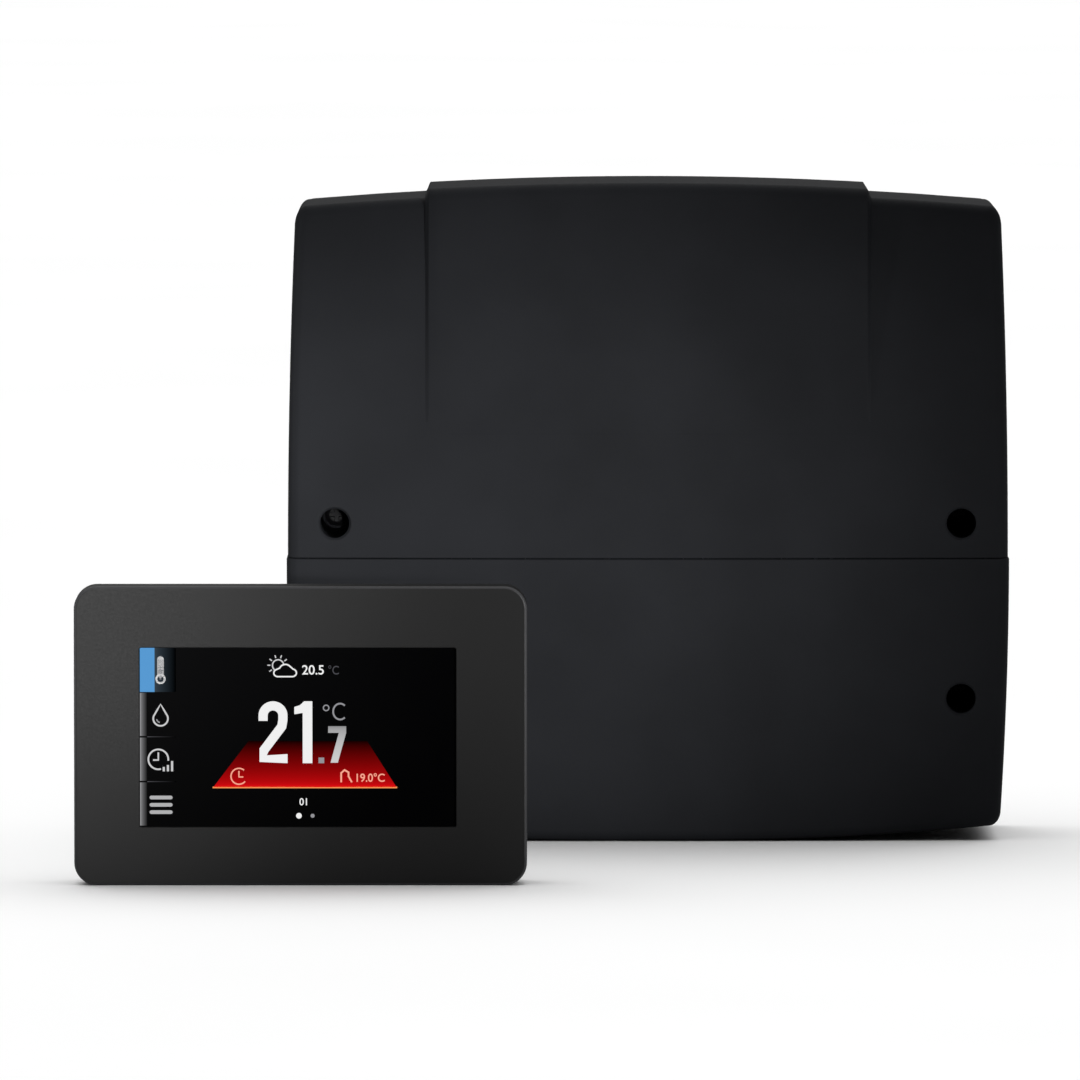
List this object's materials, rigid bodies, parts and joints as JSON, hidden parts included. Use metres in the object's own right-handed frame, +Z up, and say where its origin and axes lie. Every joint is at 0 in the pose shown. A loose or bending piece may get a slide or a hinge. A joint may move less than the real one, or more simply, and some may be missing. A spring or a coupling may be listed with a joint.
{
  "type": "underfloor heating controller set",
  "caption": "Wall-mount heating control module with a lift-up upper cover and a pull-off terminal cover, and a separate touch-screen panel on a clip-on wall plate.",
  "frame": {"origin": "on the standing surface, in the middle of the footprint that the module and the panel cover together", "axes": "+Z up, -Y the side that both fronts face, +X to the right as seen from the front"},
  "size_m": [0.286, 0.203, 0.2052],
  "materials": {
    "case_plastic": "fine moulded texture",
    "panel_plastic": "satin moulded",
    "touch_glass": "polished, black printed behind",
    "circuit_board": "solder mask",
    "screw_steel": "zinc plated",
    "relay_blue": "moulded",
    "moulded_black": "moulded",
    "fuse_glass": "clear with plated caps",
    "film_yellow": "moulded",
    "terminal_green": "moulded",
    "terminal_grey": "moulded",
    "clamp_grey": "moulded",
    "earth_brass": "machined"
  },
  "bodies": {
    "module": {"module_base": "case_plastic", "main_board": "circuit_board", "board_screw_1": "screw_steel", "board_screw_2": "screw_steel", "board_screw_3": "screw_steel", "board_screw_4": "screw_steel", "relay_1": "relay_blue", "relay_2": "relay_blue", "relay_3": "relay_blue", "relay_4": "relay_blue", "relay_5": "relay_blue", "relay_6": "relay_blue", "mains_transformer": "moulded_black", "storage_capacitor": "moulded_black", "output_capacitor": "moulded_black", "varistor": "relay_blue", "film_capacitor": "film_yellow", "logic_board": "circuit_board", "board_spacer_1": "screw_steel", "board_spacer_2": "screw_steel", "board_link": "moulded_black", "clock_battery": "screw_steel", "mains_header": "terminal_green", "sensor_header": "terminal_grey", "fuse_holder": "moulded_black", "earth_bar": "earth_brass"},
    "upper_cover": {"upper_cover": "case_plastic"},
    "terminal_cover": {"terminal_cover": "case_plastic"},
    "cover_screw_upper_left": {"cover_screw_upper_left": "screw_steel"},
    "cover_screw_upper_right": {"cover_screw_upper_right": "screw_steel"},
    "cover_screw_lower_left": {"cover_screw_lower_left": "screw_steel"},
    "cover_screw_lower_right": {"cover_screw_lower_right": "screw_steel"},
    "mains_clamp": {"mains_clamp_bar": "clamp_grey", "mains_clamp_screw_1": "screw_steel", "mains_clamp_screw_2": "screw_steel"},
    "sensor_clamp": {"sensor_clamp_bar": "clamp_grey", "sensor_clamp_screw_1": "screw_steel", "sensor_clamp_screw_2": "screw_steel"},
    "mains_plug_1": {"mains_plug_1": "terminal_green"},
    "mains_plug_2": {"mains_plug_2": "terminal_green"},
    "mains_plug_3": {"mains_plug_3": "terminal_green"},
    "sensor_plug_1": {"sensor_plug_1": "terminal_grey"},
    "sensor_plug_2": {"sensor_plug_2": "terminal_grey"},
    "sensor_plug_3": {"sensor_plug_3": "terminal_grey"},
    "fuse_carrier": {"fuse_cap": "moulded_black", "fuse": "fuse_glass"},
    "panel_mount": {"wall_plate": "panel_plastic"},
    "panel_head": {"panel_bezel": "panel_plastic", "touch_glass": "touch_glass", "lcd_module": "screw_steel", "panel_board": "circuit_board", "panel_back": "panel_plastic", "panel_screw_1": "screw_steel", "panel_screw_2": "screw_steel", "panel_screw_3": "screw_steel", "panel_screw_4": "screw_steel", "buzzer": "moulded_black", "panel_socket": "terminal_green"},
    "panel_plug": {"panel_plug": "terminal_green"}
  },
  "joints": [
    {"name": "upper_cover_swing", "type": "hinge", "parent": "module", "child": "upper_cover", "pos_m": [0.0305, 0.0985, 0.2024], "axis": [-1, 0, 0], "range_deg": [0, 40]},
    {"name": "terminal_cover_pull", "type": "slide", "parent": "module", "child": "terminal_cover", "axis": [0, -1, 0], "range_m": [0, 0.06]},
    {"name": "cover_screw_upper_left_turn", "type": "hinge", "parent": "upper_cover", "child": "cover_screw_upper_left", "pos_m": [-0.067, 0.0886, 0.0992], "axis": [0, -1, 0], "continuous": true},
    {"name": "cover_screw_upper_right_turn", "type": "hinge", "parent": "upper_cover", "child": "cover_screw_upper_right", "pos_m": [0.128, 0.0886, 0.0992], "axis": [0, -1, 0], "continuous": true},
    {"name": "cover_screw_lower_left_turn", "type": "hinge", "parent": "terminal_cover", "child": "cover_screw_lower_left", "pos_m": [-0.067, 0.0886, 0.0445], "axis": [0, -1, 0], "continuous": true},
    {"name": "cover_screw_lower_right_turn", "type": "hinge", "parent": "terminal_cover", "child": "cover_screw_lower_right", "pos_m": [0.128, 0.0886, 0.0445], "axis": [0, -1, 0], "continuous": true},
    {"name": "mains_clamp_tighten", "type": "slide", "parent": "module", "child": "mains_clamp", "axis": [0, 1, 0], "range_m": [0, 0.0035]},
    {"name": "sensor_clamp_tighten", "type": "slide", "parent": "module", "child": "sensor_clamp", "axis": [0, 1, 0], "range_m": [0, 0.0035]},
    {"name": "mains_plug_1_pull", "type": "slide", "parent": "module", "child": "mains_plug_1", "axis": [0, -1, 0], "range_m": [0, 0.007]},
    {"name": "mains_plug_2_pull", "type": "slide", "parent": "module", "child": "mains_plug_2", "axis": [0, -1, 0], "range_m": [0, 0.007]},
    {"name": "mains_plug_3_pull", "type": "slide", "parent": "module", "child": "mains_plug_3", "axis": [0, -1, 0], "range_m": [0, 0.007]},
    {"name": "sensor_plug_1_pull", "type": "slide", "parent": "module", "child": "sensor_plug_1", "axis": [0, -1, 0], "range_m": [0, 0.007]},
    {"name": "sensor_plug_2_pull", "type": "slide", "parent": "module", "child": "sensor_plug_2", "axis": [0, -1, 0], "range_m": [0, 0.007]},
    {"name": "sensor_plug_3_pull", "type": "slide", "parent": "module", "child": "sensor_plug_3", "axis": [0, -1, 0], "range_m": [0, 0.007]},
    {"name": "fuse_carrier_pull", "type": "slide", "parent": "module", "child": "fuse_carrier", "axis": [0, -1, 0], "range_m": [0, 0.012]},
    {"name": "panel_shift", "type": "slide", "parent": "module", "child": "panel_mount", "axis": [-1, 0, 0], "range_m": [0, 0.14]},
    {"name": "panel_unclip", "type": "slide", "parent": "panel_mount", "child": "panel_head", "axis": [0, -1, 0], "range_m": [0, 0.03]},
    {"name": "panel_plug_pull", "type": "slide", "parent": "panel_head", "child": "panel_plug", "axis": [0, 1, 0], "range_m": [0, 0.007]}
  ]
}
